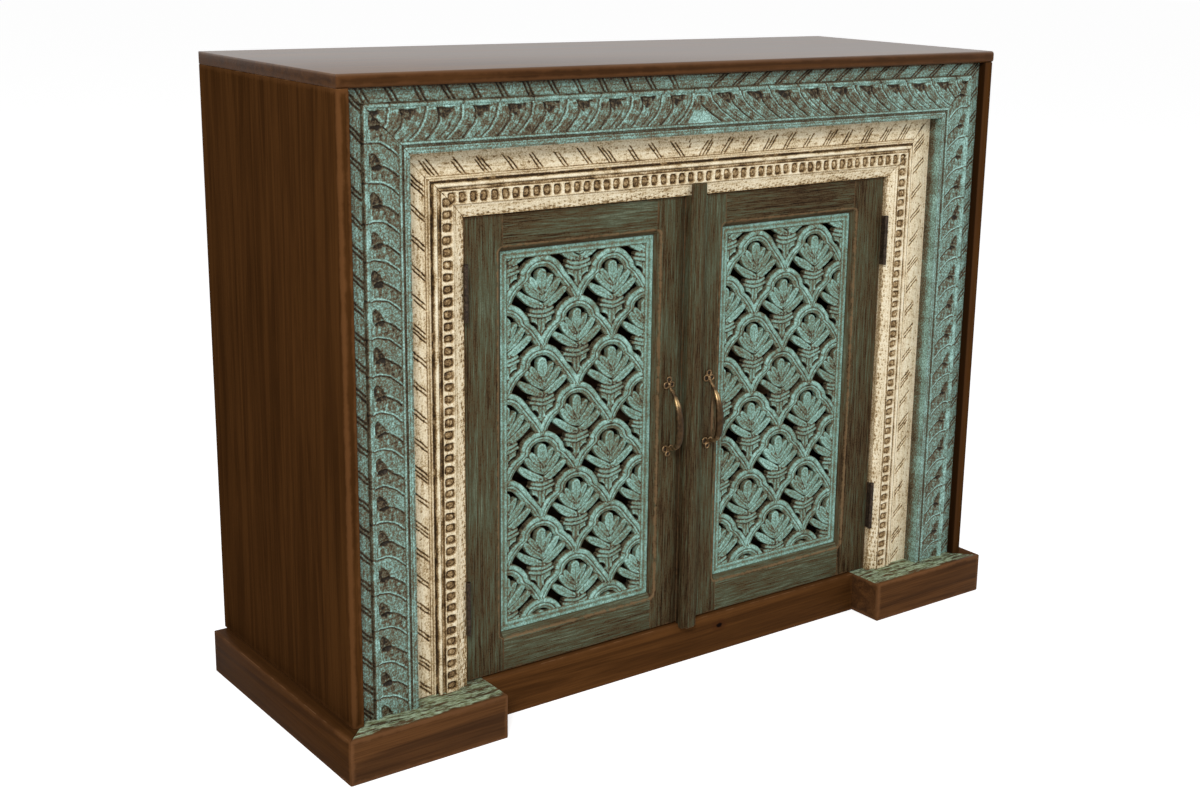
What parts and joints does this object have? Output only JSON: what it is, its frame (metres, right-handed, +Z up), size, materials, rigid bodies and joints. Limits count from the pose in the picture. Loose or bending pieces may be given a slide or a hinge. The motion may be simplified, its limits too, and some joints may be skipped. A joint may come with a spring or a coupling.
{
  "type": "carved sideboard",
  "caption": "Free-standing case with carved mitred frames round a pair of hinged doors, pierced lattice panels, bowed pulls, an inner shelf and a stepped plinth.",
  "frame": {"origin": "centre of the footprint's bounding box, on the floor plane under the plinth", "axes": "+Z up, -Y out of the front where the doors are, +X to the right as seen from the front"},
  "size_m": [1.24, 0.458, 0.95],
  "materials": {
    "dark_wood": "satin",
    "inner_wood": "matt",
    "back_board": "matt",
    "teal_paint": "worn paint",
    "cream_paint": "worn paint",
    "door_paint": "worn paint",
    "lattice_paint": "worn paint",
    "bronze": "aged",
    "iron": "aged",
    "catch_plastic": "matt"
  },
  "bodies": {
    "carcase": {"back_panel": "back_board", "bead_moulding_header": "cream_paint", "bead_moulding_left": "cream_paint", "bead_moulding_right": "cream_paint", "bottom_panel": "inner_wood", "door_stop_rail": "inner_wood", "face_frame_header": "cream_paint", "face_frame_left": "cream_paint", "face_frame_right": "cream_paint", "frame_hinge_screws": "iron", "hinge_left_bottom_frame_leaf": "iron", "hinge_left_top_frame_leaf": "iron", "hinge_pins_left": "iron", "hinge_pins_right": "iron", "hinge_right_bottom_frame_leaf": "iron", "hinge_right_top_frame_leaf": "iron", "magnetic_catches": "catch_plastic", "outer_frame_header": "teal_paint", "outer_frame_left": "teal_paint", "outer_frame_right": "teal_paint", "plinth_back_board": "dark_wood", "plinth_block_left": "dark_wood", "plinth_block_right": "dark_wood", "plinth_front_board": "dark_wood", "plinth_glue_blocks": "inner_wood", "plinth_side_left": "dark_wood", "plinth_side_right": "dark_wood", "shelf": "inner_wood", "shelf_cleat_back": "inner_wood", "shelf_cleat_left": "inner_wood", "shelf_cleat_right": "inner_wood", "side_panel_left": "dark_wood", "side_panel_right": "dark_wood", "top_panel": "dark_wood"},
    "left_door": {"hinge_left_bottom_door_leaf": "iron", "hinge_left_top_door_leaf": "iron", "left_door_bottom_rail": "door_paint", "left_door_hinge_screws": "iron", "left_door_hinge_stile": "door_paint", "left_door_lattice": "lattice_paint", "left_door_meeting_stile": "door_paint", "left_door_panel_beads": "inner_wood", "left_door_pull": "bronze", "left_door_strike_plate": "iron", "left_door_top_rail": "door_paint", "left_pull_tacks": "iron"},
    "right_door": {"hinge_right_bottom_door_leaf": "iron", "hinge_right_top_door_leaf": "iron", "right_door_astragal": "door_paint", "right_door_bottom_rail": "door_paint", "right_door_hinge_screws": "iron", "right_door_hinge_stile": "door_paint", "right_door_lattice": "lattice_paint", "right_door_meeting_stile": "door_paint", "right_door_panel_beads": "inner_wood", "right_door_pull": "bronze", "right_door_strike_plate": "iron", "right_door_top_rail": "door_paint", "right_pull_tacks": "iron"}
  },
  "joints": [
    {"name": "left_door_hinge", "type": "hinge", "parent": "carcase", "child": "left_door", "pos_m": [-0.3995, -0.1705, 0.415], "axis": [0, 0, -1], "range_deg": [0, 150]},
    {"name": "right_door_hinge", "type": "hinge", "parent": "carcase", "child": "right_door", "pos_m": [0.3995, -0.1705, 0.415], "axis": [0, 0, 1], "range_deg": [0, 150]}
  ]
}
